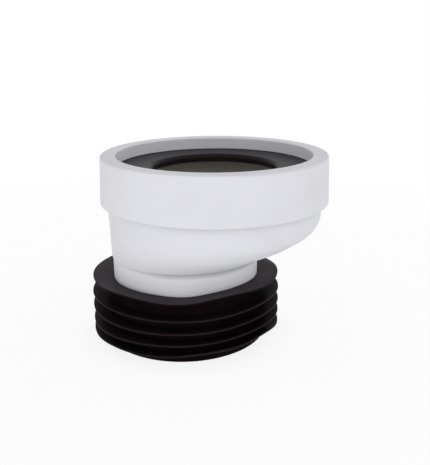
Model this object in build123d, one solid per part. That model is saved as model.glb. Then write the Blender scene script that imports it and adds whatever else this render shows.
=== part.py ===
# Offset toilet pan connector: a moulded body, a snap-on collar and two rubber seals.
# Millimetres, +Z up. The origin is on the outlet's axis, in the plane the connector stands on,
# and the inlet's axis lies towards +X.
import os

from build123d import *

# Overall layout
overall_height = 112.0      # foot of the outlet seal to the top of the collar
wall = 3.0                  # body wall
fit_gap = 0.25              # radial room between pieces that slide together

# Collar that holds the inlet seal
collar_height = 28.0
collar_flare = 1.0          # moulding draft: how much the skirt widens to its lower edge
collar_wall = 2.2           # outer skirt
collar_web = 2.6            # top face
mouth_radius = 59.0         # the way in for the pan's spigot
mouth_depth = 7.4           # top face down to the inlet seal
mouth_wall = 2.4            # inner skirt
channel_width = 4.65        # between the two skirts, where the seal's bead sits
collar_round = 1.2          # top outer edge
mouth_round = 0.8           # top inner edge
collar_edge = 0.6           # lower outer edge
hook_land = 1.2             # height of the snap hook's inner face

# Inlet seal
membrane = 2.4              # thickness of the flat diaphragm
roll_radius = 2.8           # rolled edge round the hole
hole_radius = 37.0          # free hole, before a spigot stretches it

# Body
rim_bead = 1.2              # snap bead, how far it stands out of the cup
rim_bead_height = 3.2
bowl_height = 32.9          # collar's lower edge down to the crease on the spigot
bend_drop = 14.5            # collar's lower edge down to where the cup's side would meet the slope
bend_radius = 14.1
slope_belly = 1.3           # the slope bulges this much in its middle
belly_radius = 30.0
shoulder_overhang = 6.6     # shoulder beyond the spigot on the inlet's side
shoulder_drop = 2.7         # from the shoulder down to the crease
shoulder_round = 11.0
crease_step = 0.6           # last step in to the spigot, all round
crease_cove = 1.5           # hollow round in that step
side_lean = 1.3             # how far the other side, almost straight, leans in from the cup
bowl_sections = 19          # circles that the transition is lofted through

# Outlet spigot
spigot_radius = 44.6
spigot_wall = 2.6
spigot_bead = 0.9           # ring under the sleeve that keeps it on
spigot_bead_height = 2.4
spigot_bead_level = 17.4    # middle of that ring
spigot_lead = 1.0           # chamfer inside the end

# Outlet seal
sleeve_wall = 3.7
foot_thickness = 2.6        # the foot turns in under the spigot's end
foot_flare = 1.65           # foot beyond the sleeve
foot_height = 3.4
foot_round = 1.2
fin_count = 4
fin_reach = 9.5             # how far a fin stands out of the sleeve
fin_sweep = 1.5             # how far its tip leans up, away from the way in
fin_root = 2.2              # thickness at the sleeve
fin_tip = 1.2               # thickness at the land
fin_land = 0.8              # height of the flat land at the tip
fin_first = 4.7             # root of the lowest fin above the ground
fin_pitch = 7.4
flange_gap = 10.6           # from the highest fin to the flange that stops the sleeve
flange_reach = 8.9

# Levels and radii that follow
upward = (Align.CENTER, Align.CENTER, Align.MIN)
collar_bottom = overall_height - collar_height
seal_top = overall_height - mouth_depth
rim_top = seal_top - membrane
bead_bottom = rim_top - rim_bead_height
shoulder_height = collar_bottom - bowl_height
bend_height = collar_bottom - bend_drop
bore_radius = spigot_radius - spigot_wall
collar_top_radius = mouth_radius + mouth_wall + channel_width + collar_wall


def ring_of(points):
    return revolve(make_face(Plane.XZ * Polyline(*points, close=True)), Axis.Z)


def collar_outside(z):
    return collar_top_radius + collar_flare * (overall_height - z) / collar_height


def collar_inside(z):
    return collar_outside(z) - collar_wall


bead_radius = collar_inside(rim_top - rim_bead) - fit_gap
cup_radius = bead_radius - rim_bead
axis_offset = cup_radius - side_lean - crease_step - spigot_radius
inlet = Pos(axis_offset, 0, 0)


# Body: circles that lean on the left wall and follow one curve on the right, lofted
def belly_point(bend, end):
    slope = Vector(*end) - Vector(*bend)
    outward = Vector(-slope.Y, slope.X).normalized()
    return (Vector(*bend) + Vector(*end)) / 2 + outward * slope_belly


def skewed_bowl(right_side, rounds, left_top, left_end):
    curve = FilletPolyline(*right_side, radius=rounds)
    top, drop = right_side[0][1], right_side[0][1] - right_side[-1][1]
    spacing = curve.length / (bowl_sections - 1)
    sections = []
    for k in range(bowl_sections):
        right = curve.position_at(k * spacing, PositionMode.LENGTH)
        left = left_top + (left_end - left_top) * (top - right.Y) / drop
        sections.append(Pos((left + right.X) / 2, 0, right.Y) * Circle((right.X - left) / 2))
    return loft(sections)


cup_left, cup_right = axis_offset - cup_radius, axis_offset + cup_radius
bend = (cup_right, bend_height)
shoulder = (spigot_radius + shoulder_overhang, shoulder_height + shoulder_drop)
bowl = skewed_bowl([(cup_right, collar_bottom), bend, belly_point(bend, shoulder), shoulder,
                    (spigot_radius + crease_step, shoulder_height)],
                   [bend_radius, belly_radius, shoulder_round],
                   cup_left, -spigot_radius - crease_step)
inner_bend = (cup_right - wall, bend_height + wall / 2)
inner_end = (bore_radius, shoulder_height + wall / 2)
hollow = skewed_bowl([(cup_right - wall, collar_bottom), inner_bend,
                      belly_point(inner_bend, inner_end), inner_end],
                     [bend_radius - wall, belly_radius], cup_left + wall, -bore_radius)
cup = inlet * ring_of([
    (cup_radius - wall, collar_bottom), (cup_radius, collar_bottom), (cup_radius, bead_bottom),
    (bead_radius, bead_bottom), (bead_radius, rim_top - rim_bead), (cup_radius, rim_top),
    (cup_radius - wall, rim_top)])
bead_low = spigot_bead_level - spigot_bead_height / 2
bead_high = spigot_bead_level + spigot_bead_height / 2
spigot = ring_of([
    (bore_radius, shoulder_height), (spigot_radius, shoulder_height),
    (spigot_radius, bead_high), (spigot_radius + spigot_bead, bead_high - spigot_bead),
    (spigot_radius + spigot_bead, bead_low + spigot_bead / 2), (spigot_radius, bead_low),
    (spigot_radius, foot_thickness), (bore_radius + spigot_lead, foot_thickness),
    (bore_radius, foot_thickness + spigot_lead)])
cove_drop = (2 * crease_cove * crease_step - crease_step**2) ** 0.5
cove_low = (spigot_radius, shoulder_height - cove_drop)
cove_top = (spigot_radius + crease_step, shoulder_height)
cove = revolve(make_face(Plane.XZ * (
    RadiusArc(cove_low, cove_top, crease_cove) + Polyline(
        cove_top, (bore_radius, shoulder_height), (bore_radius, cove_low[1]), cove_low))), Axis.Z)
throat = Pos(0, 0, shoulder_height) * Cylinder(
    bore_radius, inner_end[1] - shoulder_height, align=upward)
offset_body = bowl - (hollow + throat) + cup + spigot + cove

# Collar: channel section with a hook that snaps under the cup's bead
hook_radius = cup_radius + fit_gap
hook_foot = bead_bottom - hook_land - (collar_inside(bead_bottom) - hook_radius)
web_under = overall_height - collar_web
collar_section = make_face(Plane.XZ * Polyline(
    (mouth_radius, overall_height), (collar_top_radius, overall_height),
    (collar_outside(collar_bottom), collar_bottom), (collar_inside(collar_bottom), collar_bottom),
    (collar_inside(hook_foot), hook_foot), (hook_radius, bead_bottom - hook_land),
    (hook_radius, bead_bottom), (collar_inside(bead_bottom), bead_bottom),
    (collar_inside(web_under), web_under), (mouth_radius + mouth_wall, web_under),
    (mouth_radius + mouth_wall, seal_top), (mouth_radius, seal_top), close=True))
top_corners = collar_section.vertices().group_by(Axis.Z)[-1].sort_by(Axis.X)
collar_section = fillet(top_corners[-1], collar_round)
top_corners = collar_section.vertices().group_by(Axis.Z)[-1].sort_by(Axis.X)
collar_section = fillet(top_corners[0], mouth_round)
low_corners = collar_section.vertices().group_by(Axis.Z)[0].sort_by(Axis.X)
collar_section = fillet(low_corners[-1], collar_edge)
retaining_ring = inlet * revolve(collar_section, Axis.Z)

# Inlet seal: bead in the collar's channel, flat diaphragm, rolled edge
channel_bead_outer = collar_inside(web_under) - fit_gap
channel_bead_inner = mouth_radius + mouth_wall + fit_gap
roll_center = hole_radius + roll_radius
diaphragm = ring_of([
    (roll_center, seal_top), (channel_bead_inner, seal_top), (channel_bead_inner, web_under),
    (channel_bead_outer, web_under), (channel_bead_outer, rim_top), (roll_center, rim_top)])
roll = revolve(Plane.XZ * Pos(roll_center, seal_top - roll_radius) * Circle(roll_radius), Axis.Z)
inlet_seal = inlet * (diaphragm + roll)

# Outlet seal: sleeve and foot, with swept fins and a stop flange on it
fin_levels = [fin_first + k * fin_pitch for k in range(fin_count)]
flange_level = fin_levels[-1] + flange_gap
sleeve_top = flange_level + fin_root / 2
sleeve_bore = spigot_radius + fit_gap
sleeve_radius = sleeve_bore + sleeve_wall
foot_radius = sleeve_radius + foot_flare
groove_radius = spigot_radius + spigot_bead + fit_gap


def swept_fin(level, reach):
    inner, outer = sleeve_radius - sleeve_wall / 2, sleeve_radius + reach
    tip_level = level + fin_sweep
    slant = (fin_tip - fin_land) / 2
    return ring_of([
        (inner, level - fin_root / 2), (outer - slant, tip_level - fin_tip / 2),
        (outer, tip_level - fin_land / 2), (outer, tip_level + fin_land / 2),
        (outer - slant, tip_level + fin_tip / 2), (inner, level + fin_root / 2)])


outlet_seal = ring_of([
    (bore_radius, 0), (foot_radius - foot_round, 0), (foot_radius, foot_round),
    (foot_radius, foot_height), (sleeve_radius, foot_height + foot_flare),
    (sleeve_radius, sleeve_top), (sleeve_bore, sleeve_top),
    (sleeve_bore, bead_high + fit_gap), (groove_radius, bead_high + fit_gap - spigot_bead),
    (groove_radius, bead_low - fit_gap + spigot_bead / 2), (sleeve_bore, bead_low - fit_gap),
    (sleeve_bore, foot_thickness), (bore_radius, foot_thickness)])
for level in fin_levels:
    outlet_seal += swept_fin(level, fin_reach)
outlet_seal += swept_fin(flange_level, flange_reach)

# One file for each piece
os.makedirs("parts", exist_ok=True)
export_step(offset_body, "parts/offset_body.step")
export_step(retaining_ring, "parts/retaining_ring.step")
export_step(inlet_seal, "parts/inlet_seal.step")
export_step(outlet_seal, "parts/outlet_seal.step")
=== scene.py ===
# Offset toilet pan connector, standing on its finned outlet seal.
# White moulded body and collar, black rubber seals, pale studio. Metres, +Z up.
import math

import bpy
from mathutils import Matrix, Vector


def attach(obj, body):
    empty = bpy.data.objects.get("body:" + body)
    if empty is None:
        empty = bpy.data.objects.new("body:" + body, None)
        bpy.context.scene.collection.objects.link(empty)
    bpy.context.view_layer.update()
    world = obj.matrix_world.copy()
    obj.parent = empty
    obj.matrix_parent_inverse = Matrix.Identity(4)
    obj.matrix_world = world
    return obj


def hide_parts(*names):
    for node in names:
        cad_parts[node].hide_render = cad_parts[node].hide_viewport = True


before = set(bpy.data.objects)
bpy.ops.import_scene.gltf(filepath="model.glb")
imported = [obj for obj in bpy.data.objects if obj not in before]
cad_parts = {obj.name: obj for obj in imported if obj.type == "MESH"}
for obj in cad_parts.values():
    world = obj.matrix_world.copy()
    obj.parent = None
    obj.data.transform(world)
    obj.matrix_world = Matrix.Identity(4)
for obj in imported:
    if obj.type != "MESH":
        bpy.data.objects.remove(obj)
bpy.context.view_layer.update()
print("frame loaded:", ", ".join(sorted(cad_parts)))

mm = 0.001             # the seals are given in millimetres
inletShift = 0.018493  # from the outlet's axis to the inlet's, towards +X


# Shader maths: a socket that can be added, subtracted and multiplied like a number
class Wire:
    def __init__(self, graph, socket):
        self.graph = graph
        self.socket = socket

    def maths(self, operation, first, second):
        return self.graph.node("Math", {"operation": operation}, {0: first, 1: second})

    def __add__(self, other):
        return self.maths("ADD", self, other)

    def __radd__(self, other):
        return self.maths("ADD", other, self)

    def __sub__(self, other):
        return self.maths("SUBTRACT", self, other)

    def __rsub__(self, other):
        return self.maths("SUBTRACT", other, self)

    def __mul__(self, other):
        return self.maths("MULTIPLY", self, other)

    def __rmul__(self, other):
        return self.maths("MULTIPLY", other, self)


class Graph:
    def __init__(self, owner):
        owner.use_nodes = True
        self.tree = owner.node_tree
        self.tree.nodes.clear()

    # any node: its type, its settings, then the values or links of its sockets
    def node(self, kind, settings=None, sockets=None, out=0):
        made = self.tree.nodes.new("ShaderNode" + kind)
        for key, value in (settings or {}).items():
            setattr(made, key, value)
        for key, value in (sockets or {}).items():
            if isinstance(value, Wire):
                self.tree.links.new(value.socket, made.inputs[key])
            else:
                made.inputs[key].default_value = value
        return Wire(self, made.outputs[out]) if made.outputs else made

    def part(self, vector, axis):  # one coordinate of a vector
        return self.node("SeparateXYZ", None, {0: vector}, axis)

    def length(self, vector):
        return self.node("VectorMath", {"operation": "LENGTH"}, {0: vector}, "Value")

    def fade(self, value, start, end):  # 0 at start, 1 at end, eased
        return self.node("MapRange", {"interpolation_type": "SMOOTHSTEP"},
                         {"Value": value, "From Min": start, "From Max": end})

    def blend(self, amount, first, second):  # mixes two colours: sockets 6 and 7 in, 2 out
        return self.node("Mix", {"data_type": "RGBA"}, {0: amount, 6: first, 7: second}, 2)

    def noise(self, place, size, detail=2.0, roughness=0.5):  # size is in metres
        return self.node("TexNoise", None, {"Vector": place, "Scale": 1.0 / size,
                                            "Detail": detail, "Roughness": roughness})

    def bump(self, height):  # height is in metres
        return self.node("Bump", None, {"Strength": 1.0, "Distance": 1.0, "Height": height})


def colour(red, green, blue):
    return (red, green, blue, 1.0)


def paint(item, material):
    item.data.materials.clear()
    item.data.materials.append(material)


# White polypropylene: soft tone drift, level lines as a turned mould leaves, fine satin grain
whitePlastic = {
    "tone": colour(0.755, 0.758, 0.790),
    "drift": colour(0.728, 0.730, 0.760),
    "driftSize": 0.030,
    "driftDetail": 3.0,
    "driftFade": (0.35, 0.75),
    "grainSize": 0.0006,
    "grainDepth": 0.000012,
    "lineStretch": (9.0, 9.0, 700.0),
    "lineDepth": 0.000010,
    "lineGloss": 0.05,
    "roughness": 0.55,
    "roughnessSpread": 0.10,
    "specular": 0.20,
}
# Painted shade: a darker, warmer tone on the body's inner faces, where little light gets in
bodyInsideShade = {
    "tone": colour(0.60, 0.575, 0.53),
    "axisLow": 0.0511,           # below this level the body's axis is the outlet's
    "axisHigh": 0.084,           # above this one it is the inlet's
    "inward": (-0.001, -0.008),  # radius along the normal, less than 0 where it faces the axis
}
# Painted shade in the crease under the body's overhang and under the collar, stronger on the inlet's
# side where the overhang is larger
bodyPaintedShade = {
    "side": (-0.040, -0.010),  # grows towards the inlet's side
    # painted shade: darker lines in the crease under the overhang and under the collar, where each
    # fades in from below and from above
    "lines": [
        {"low": (0.0476, 0.0500), "high": (0.0528, 0.0506), "tone": colour(0.515, 0.517, 0.540)},
        {"low": (0.0785, 0.0835), "high": (0.0870, 0.0850), "tone": colour(0.690, 0.692, 0.722)},
    ],
}


# 1 where the surface faces the body's axis, 0 on the outside
def facesAxis(graph, place, look):
    across, along, level = (graph.part(place, axis) for axis in "XYZ")
    facing = graph.node("TexCoord", out="Normal")
    shift = graph.node("MapRange", None, {"Value": level, "From Min": look["axisLow"],
                                          "From Max": look["axisHigh"], "To Max": inletShift})
    outward = graph.part(facing, "X") * (across - shift) + graph.part(facing, "Y") * along
    return graph.fade(outward, *look["inward"])


# The painted shade lines in the crease and under the collar, laid over the plastic's own tone
def addPaintedShade(graph, place, tone, look):
    side, level = graph.fade(graph.part(place, "X"), *look["side"]), graph.part(place, "Z")
    for line in look["lines"]:
        near = graph.fade(level, *line["low"]) * graph.fade(level, *line["high"])
        tone = graph.blend(side * near, tone, line["tone"])
    return tone


def makeWhitePlastic(name, look, paintedShade=None, inside=None):
    made = bpy.data.materials.new(name)
    graph = Graph(made)
    place = graph.node("TexCoord", out="Object")
    drift = graph.noise(place, look["driftSize"], look["driftDetail"])
    grain = graph.noise(place, look["grainSize"])
    stretched = graph.node("Mapping", None, {"Vector": place, "Scale": look["lineStretch"]})
    lines = graph.noise(stretched, 1.0)
    tone = graph.blend(graph.fade(drift, *look["driftFade"]), look["tone"], look["drift"])
    # painted shade in the crease and under the collar
    if paintedShade:
        tone = addPaintedShade(graph, place, tone, paintedShade)
    # painted shade on the faces towards the axis, inside the body
    if inside:
        tone = graph.blend(facesAxis(graph, place, inside), tone, inside["tone"])
    gloss = (look["roughness"] + look["roughnessSpread"] * (drift - 0.5)
             + look["lineGloss"] * (lines - 0.5))
    surface = graph.node("BsdfPrincipled", None, {
        "Base Color": tone, "Roughness": gloss, "Specular IOR Level": look["specular"],
        "Normal": graph.bump(look["grainDepth"] * grain + look["lineDepth"] * lines)})
    graph.node("OutputMaterial", None, {"Surface": surface})
    return made


bodyPlastic = makeWhitePlastic("bodyPlastic", whitePlastic, bodyPaintedShade, bodyInsideShade)
paint(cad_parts["offset_body"], bodyPlastic)
paint(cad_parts["retaining_ring"], makeWhitePlastic("collarPlastic", whitePlastic))
print("white plastic on the body and the collar")


# Black rubber: slightly warm, dull, with a faint grey bloom and a fine pebble
blackRubber = {
    "tone": colour(0.0064, 0.0031, 0.0043),
    "bloom": colour(0.0094, 0.0054, 0.0068),
    "bloomSize": 0.018,
    "bloomDetail": 4.0,
    "bloomRoughness": 0.6,
    "bloomFade": (0.40, 0.72),
    "pebbleSize": 0.0009,
    "pebbleDepth": 0.00002,
    "roughness": 0.40,
    "roughnessSpread": 0.14,
    "specular": 0.013,
}
# A lighter copy of the black rubber for the inlet seal: painted sheen on its upward diaphragm
paintedSheenRubber = dict(
    blackRubber,
    tone=colour(0.0165, 0.0145, 0.0215),
    bloom=colour(0.0235, 0.0210, 0.0300),
    specular=0.06,
)
# Painted sheen on the outlet seal's upward faces, stronger on the flange's top, and a painted glint
# along the fins' tips
sleevePaintedSheen = {
    "flangePaintedSheen": colour(0.0390, 0.0328, 0.0374),
    "finPaintedSheen": colour(0.0115, 0.0078, 0.0092),  # less painted sheen on the fins, under the flange
    "flangeLevel": (0.0330, 0.0345),
    "facingUp": (0.45, 0.90),
    "tipGlint": colour(0.0165, 0.0118, 0.0135),     # painted glint along the fins' tips
    "tipGlintRadius": (0.0570, 0.0577),
}
# Painted shade on the inlet seal's rolled edge round the hole
lipPaintedShade = {
    "tone": colour(0.0168, 0.0118, 0.0138),
    "radius": (0.0405, 0.0390),  # from the hole's axis, where it begins and where it is full
}


# Distance from an upright axis that stands off by shift towards +X
def fromAxis(graph, place, shift):
    flat = graph.node("Mapping", None, {"Vector": place, "Location": (-shift, 0.0, 0.0),
                                        "Scale": (1.0, 1.0, 0.0)})
    return graph.length(flat)


# Painted sheen on the upper faces, and a painted glint along the fin tips
def paintSleeveSheen(graph, place, tone):
    look = sleevePaintedSheen
    onFlange = graph.fade(graph.part(place, "Z"), *look["flangeLevel"])
    paintedSheen = graph.blend(onFlange, look["finPaintedSheen"], look["flangePaintedSheen"])
    upward = graph.fade(graph.part(graph.node("TexCoord", out="Normal"), "Z"), *look["facingUp"])
    # painted glint along the fins' tips
    tip = graph.fade(fromAxis(graph, place, 0.0), *look["tipGlintRadius"]) * (1.0 - onFlange)
    return graph.blend(tip, graph.blend(upward, tone, paintedSheen), look["tipGlint"])


# Painted shade on the rolled edge round the hole, darker than the diaphragm's face
def paintLipShade(graph, place, tone):
    lip = graph.fade(fromAxis(graph, place, inletShift), *lipPaintedShade["radius"])
    return graph.blend(lip, tone, lipPaintedShade["tone"])


def makeBlackRubber(name, look, addPaintedLight):
    made = bpy.data.materials.new(name)
    graph = Graph(made)
    place = graph.node("TexCoord", out="Object")
    bloom = graph.noise(place, look["bloomSize"], look["bloomDetail"], look["bloomRoughness"])
    pebble = graph.noise(place, look["pebbleSize"])
    tone = graph.blend(graph.fade(bloom, *look["bloomFade"]), look["tone"], look["bloom"])
    # the seal's painted light and shade are laid on the tone here
    surface = graph.node("BsdfPrincipled", None, {
        "Base Color": addPaintedLight(graph, place, tone),
        "Roughness": look["roughness"] + look["roughnessSpread"] * (bloom - 0.5),
        "Specular IOR Level": look["specular"],
        "Normal": graph.bump(look["pebbleDepth"] * pebble)})
    graph.node("OutputMaterial", None, {"Surface": surface})
    return made


# How a rubber ring is made, the same for both seals
rubberRing = {
    "sides": 180,
    "weld": 0.005,        # mm
    "bevelAngle": 25.0,   # degrees: sharper edges are softened
    "smoothAngle": 40.0,  # degrees: what is still sharper keeps a crisp edge
}


# A ring of rubber: a circle drawn on through the section's corners (radius, level, in mm)
def turnSection(name, section):
    corners = [(mm * radius, mm * level) for radius, level in section]
    bpy.ops.object.select_all(action="DESELECT")
    radius, level = corners[0]
    bpy.ops.mesh.primitive_circle_add(
        vertices=rubberRing["sides"], radius=radius, location=(0.0, 0.0, level))
    piece = bpy.context.active_object
    piece.name = name
    bpy.ops.object.transform_apply(location=True, rotation=False, scale=False)
    bpy.ops.object.mode_set(mode="EDIT")
    bpy.ops.mesh.select_all(action="SELECT")
    for nextRadius, nextLevel in corners[1:] + corners[:1]:
        rise = (0.0, 0.0, nextLevel - level)
        bpy.ops.mesh.extrude_region_move(TRANSFORM_OT_translate={"value": rise})
        grow = nextRadius / radius
        bpy.ops.transform.resize(value=(grow, grow, 1.0), center_override=(0.0, 0.0, 0.0))
        radius, level = nextRadius, nextLevel
    bpy.ops.mesh.select_all(action="SELECT")
    bpy.ops.mesh.remove_doubles(threshold=mm * rubberRing["weld"])
    bpy.ops.mesh.normals_make_consistent(inside=False)
    bpy.ops.object.mode_set(mode="OBJECT")
    return piece


def softenEdges(piece, edge):
    bevel = piece.modifiers.new("softEdges", "BEVEL")
    bevel.width = mm * edge["width"]
    bevel.segments = edge["steps"]
    bevel.limit_method = "ANGLE"
    bevel.angle_limit = math.radians(rubberRing["bevelAngle"])
    bpy.ops.object.modifier_apply(modifier=bevel.name)


def finishRubber(piece, node, look, addPaintedLight):
    bpy.ops.object.select_all(action="DESELECT")
    piece.select_set(True)
    bpy.context.view_layer.objects.active = piece
    bpy.ops.object.shade_smooth_by_angle(angle=math.radians(rubberRing["smoothAngle"]))
    paint(piece, makeBlackRubber(piece.name, look, addPaintedLight))
    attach(piece, "root")
    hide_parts(node)
    print(piece.name, "made,", len(piece.data.polygons), "faces")


# Outlet seal: sleeve, turned-in foot, four swept fins and a stop flange. Millimetres and degrees
outletSeal = {
    "bore": 42.0,
    "sleeveBore": 44.85,
    "sleeveMiddle": 46.7,
    "sleeveRadius": 48.55,
    "sleeveTop": 38.6,
    "foot": {"radius": 50.2, "height": 3.4, "thickness": 2.6, "chamfer": 0.68},
    "groove": {"radius": 45.75, "low": 15.95, "high": 18.85, "lead": 0.6},  # round the spigot's bead
    "finRoot": 2.2,
    "finTip": 1.2,
    "finSweep": 1.5,
    "finRings": 5,      # steps from root to tip, to bend it at
    "edge": {"width": 0.38, "steps": 3},
    "bendPower": 1.6,   # a fin bends more towards its tip
    "footMargin": 0.5,  # the foot's bend reaches this far above it
    "rootMargin": 0.3,  # the sleeve itself stays straight
    # each rib's root level and reach, and where its tip is bent: direction, spread, lift
    "ribs": [
        {"level": 4.7, "reach": 9.5, "bends": [
            (285, 50, 2.9), (318, 30, 3.1), (188, 34, -1.5), (95, 60, 0.6)]},
        {"level": 12.1, "reach": 9.5, "bends": [(308, 55, 2.0), (185, 75, -2.3), (60, 45, 0.7)]},
        {"level": 19.5, "reach": 9.5, "bends": [(312, 45, 1.5), (205, 85, -0.95), (40, 50, -0.5)]},
        {"level": 26.9, "reach": 9.5, "bends": [(316, 52, 1.9), (200, 50, 0.5), (110, 60, -0.6)]},
        {"level": 37.5, "reach": 8.9, "bends": [
            (228, 30, 1.3), (289, 34, 2.5), (260, 75, -1.0), (80, 110, -1.2),
            (20, 32, -1.6), (150, 40, -0.5)]},
    ],
    # the sleeve's top edge, uneven on the neck
    "topBends": [(305, 45, 1.2), (265, 30, -0.6), (277, 22, 0.4), (193, 30, -0.5)],
    "footTucks": [(315, 75, 1.1)],  # where the foot is pressed in
}


# One rib's corners, lower face outwards and upper face back
def ribCorners(rib, shape):
    inner, outer = shape["sleeveMiddle"], shape["sleeveRadius"] + rib["reach"]

    def faceLevel(radius, side):
        along = (radius - inner) / (outer - inner)
        thickness = shape["finRoot"] + (shape["finTip"] - shape["finRoot"]) * along
        return rib["level"] + shape["finSweep"] * along + 0.5 * side * thickness

    rings = shape["finRings"]
    stops = [shape["sleeveRadius"] + rib["reach"] * ring / rings for ring in range(rings + 1)]
    return ([(radius, faceLevel(radius, -1)) for radius in stops]
            + [(radius, faceLevel(radius, 1)) for radius in reversed(stops)])


def outletSection(shape):
    foot, groove, bore = shape["foot"], shape["groove"], shape["sleeveBore"]
    ribs = [corner for rib in shape["ribs"] for corner in ribCorners(rib, shape)]
    # the lowest fin grows out of the foot, and the flange's upper face runs in to the sleeve's top
    ribs[0] = (foot["radius"] - foot["chamfer"], foot["height"] + foot["chamfer"])
    ribs[-1] = (shape["sleeveMiddle"], shape["sleeveTop"])
    outside = [(shape["bore"], 0.0), (foot["radius"], 0.0), (foot["radius"], foot["height"])]
    inside = [
        (bore, shape["sleeveTop"]), (bore, groove["high"]),
        (groove["radius"], groove["high"] - groove["lead"]),
        (groove["radius"], groove["low"] + groove["lead"]),
        (bore, groove["low"]), (bore, foot["thickness"]), (shape["bore"], foot["thickness"])]
    return outside + ribs + inside


# Sum of the soft bends round the seal, each full at its direction and gone at its spread
def bentBy(bends, facing):
    total = 0.0
    for direction, spread, amount in bends:
        off = abs((facing - direction + 180.0) % 360.0 - 180.0)
        if off < spread:
            total += amount * 0.5 * (1.0 + math.cos(math.pi * off / spread))
    return total


# The fins, the flange, the sleeve's top edge and the foot as handling has left them
def bendOutletSeal(piece, shape):
    footTop = shape["foot"]["height"] + shape["footMargin"]
    flangeUnder = shape["ribs"][-1]["level"] - shape["finRoot"]
    for point in piece.data.vertices:
        radius, height = math.hypot(point.co.x, point.co.y) / mm, point.co.z / mm
        facing = math.degrees(math.atan2(point.co.y, point.co.x))
        if height < footTop:
            if radius > shape["sleeveMiddle"]:
                shrink = 1.0 - bentBy(shape["footTucks"], facing) / radius
                point.co.x, point.co.y = point.co.x * shrink, point.co.y * shrink
            continue
        onTop = height > flangeUnder
        if radius < shape["sleeveRadius"] + shape["rootMargin"] and not onTop:
            continue
        middle = height - 0.5 * shape["finSweep"]
        rib = min(shape["ribs"], key=lambda one: abs(one["level"] - middle))
        along = min(max((radius - shape["sleeveRadius"]) / rib["reach"], 0.0), 1.0)
        root = bentBy(shape["topBends"], facing) if onTop else 0.0
        lift = root + (bentBy(rib["bends"], facing) - root) * along ** shape["bendPower"]
        point.co.z += mm * lift


def makeOutletSeal(shape):
    piece = turnSection("outletSealRubber", outletSection(shape))
    softenEdges(piece, shape["edge"])
    bendOutletSeal(piece, shape)
    finishRubber(piece, "outlet_seal", blackRubber, paintSleeveSheen)


makeOutletSeal(outletSeal)


# Inlet seal: bead in the collar's channel, flat diaphragm, rolled edge round the hole. Millimetres
inletSeal = {
    "bead": {"inner": 61.65, "outer": 65.89, "top": 109.4},
    "top": 104.6,
    "under": 102.2,
    "roll": {"centre": 39.8, "level": 101.8, "radius": 2.8, "steps": 14},
    "edge": {"width": 0.3, "steps": 2},
}


def makeInletSeal(shape):
    bead, roll = shape["bead"], shape["roll"]
    section = [
        (bead["outer"], shape["under"]), (bead["outer"], bead["top"]),
        (bead["inner"], bead["top"]), (bead["inner"], shape["top"]),
        (0.5 * (bead["inner"] + roll["centre"]), shape["top"])]
    # from the top of the roll, over the hole's edge, round to the diaphragm's underside
    start = math.radians(90.0)
    sweep = math.radians(270.0) + math.asin((shape["under"] - roll["level"]) / roll["radius"])
    for step in range(roll["steps"] + 1):
        angle = start + sweep * step / roll["steps"]
        section.append((roll["centre"] + roll["radius"] * math.cos(angle),
                        roll["level"] + roll["radius"] * math.sin(angle)))
    piece = turnSection("inletSealRubber", section)
    softenEdges(piece, shape["edge"])
    for point in piece.data.vertices:
        point.co.x += inletShift
    finishRubber(piece, "inlet_seal", paintedSheenRubber, paintLipShade)


makeInletSeal(inletSeal)


# Camera: fitted to the rims seen in the picture
cameraView = {
    "place": (-0.04554, -0.38791, 0.18073),
    "turn": 9.403,   # degrees towards +X
    "tilt": 16.849,  # degrees down
    "roll": -0.289,
    "lens": 50.96,
    "sensor": 36.0,
    "nearest": 0.01,
}


def setCamera(view):
    turn, tilt, roll = (math.radians(view[key]) for key in ("turn", "tilt", "roll"))
    reach = math.cos(tilt)
    ahead = Vector((math.sin(turn) * reach, math.cos(turn) * reach, -math.sin(tilt)))
    level = Vector((math.cos(turn), -math.sin(turn), 0.0))
    upright = level.cross(ahead)
    right = math.cos(roll) * level + math.sin(roll) * upright
    up = math.cos(roll) * upright - math.sin(roll) * level
    lensData = bpy.data.cameras.new("photoCamera")
    lensData.lens = view["lens"]
    lensData.sensor_width = view["sensor"]
    lensData.clip_start = view["nearest"]
    camera = bpy.data.objects.new("photoCamera", lensData)
    bpy.context.scene.collection.objects.link(camera)
    turned = Matrix((right, up, -ahead)).transposed().to_4x4()
    camera.matrix_world = Matrix.Translation(view["place"]) @ turned
    bpy.context.scene.camera = camera


setCamera(cameraView)
print("camera set")


# Studio: a pale floor with some light of its own, an even sky and one long low lamp in front
studio = {
    "floorSize": 12.0,
    "floorDrop": 0.0002,
    "floorTone": colour(0.86, 0.86, 0.86),
    "floorGlow": colour(0.21, 0.21, 0.21),
    "floorGlowStart": (0.045, 0.075),  # none under the foot, metres from its axis
    "shownNear": 0.86,                 # how white the floor shows, the rest keeps the shadow
    "shownFar": 1.0,
    "shownReach": (0.10, 0.60),
    "skyLow": colour(1.02, 1.02, 1.035),
    "skyHigh": colour(0.58, 0.58, 0.59),
    "skyRight": 0.13,                  # how much brighter on the right than on the left
    "lampPlace": (-0.42, -0.90, 0.055),
    "lampAim": (0.0, 0.0, 0.05),
    "lampSize": (1.7, 0.14),
    "lampPower": 2.4,
}
white, black = colour(1.0, 1.0, 1.0), colour(0.0, 0.0, 0.0)


def seenDirectly(graph):  # camera, glossy and transmission rays see plain white
    camera, glossy, through = (graph.node("LightPath", out=name) for name in (
        "Is Camera Ray", "Is Glossy Ray", "Is Transmission Ray"))
    return graph.node("Math", {"operation": "MINIMUM"}, {0: camera + glossy + through, 1: 1.0})


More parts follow.
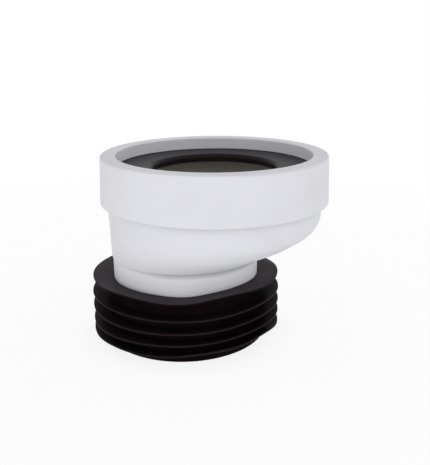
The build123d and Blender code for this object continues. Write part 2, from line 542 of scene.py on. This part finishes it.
def setFloor(look):
    bpy.ops.object.select_all(action="DESELECT")
    bpy.ops.mesh.primitive_plane_add(
        size=look["floorSize"], location=(0.0, 0.0, -look["floorDrop"]))
    floor = bpy.context.active_object
    floor.name = "studioFloor"
    made = bpy.data.materials.new("studioFloor")
    graph = Graph(made)
    away = graph.length(graph.node("TexCoord", out="Object"))
    matt = graph.node("BsdfDiffuse", None, {"Color": look["floorTone"]})
    glow = graph.blend(graph.fade(away, *look["floorGlowStart"]), black, look["floorGlow"])
    ownLight = graph.node("Emission", None, {"Color": glow, "Strength": 1.0})
    lit = graph.node("AddShader", None, {0: matt, 1: ownLight})
    plain = graph.node("Emission", None, {"Color": white, "Strength": 1.0})
    near, far = look["shownNear"], look["shownFar"]
    share = near + (far - near) * graph.fade(away, *look["shownReach"])
    shown = graph.node("MixShader", None, {0: share * seenDirectly(graph), 1: lit, 2: plain})
    graph.node("OutputMaterial", None, {"Surface": shown})
    paint(floor, made)


def setSky(look):
    sky = bpy.data.worlds.new("studioSky")
    bpy.context.scene.world = sky
    graph = Graph(sky)
    heading = graph.node("TexCoord", out="Generated")
    height, side = graph.part(heading, "Z"), graph.part(heading, "X")
    even = graph.blend(graph.fade(height, 0.0, 1.0), look["skyLow"], look["skyHigh"])
    light = graph.node("VectorMath", {"operation": "SCALE"},
                       {0: even, "Scale": 1.0 + look["skyRight"] * side})
    lit = graph.node("Background", None, {"Color": light, "Strength": 1.0})
    plain = graph.node("Background", None, {"Color": white, "Strength": 1.0})
    shown = graph.node("MixShader", None, {0: seenDirectly(graph), 1: lit, 2: plain})
    graph.node("OutputWorld", None, {"Surface": shown})


def setLamp(look):
    lampData = bpy.data.lights.new("frontLamp", "AREA")
    lampData.shape = "RECTANGLE"
    lampData.size, lampData.size_y = look["lampSize"]
    lampData.energy = look["lampPower"]
    lamp = bpy.data.objects.new("frontLamp", lampData)
    bpy.context.scene.collection.objects.link(lamp)
    lamp.location = look["lampPlace"]
    aim = Vector(look["lampAim"]) - Vector(look["lampPlace"])
    lamp.rotation_euler = aim.to_track_quat("-Z", "Y").to_euler()


setFloor(studio)
setSky(studio)
setLamp(studio)
bpy.context.scene.view_settings.view_transform = "Standard"
print("studio set")
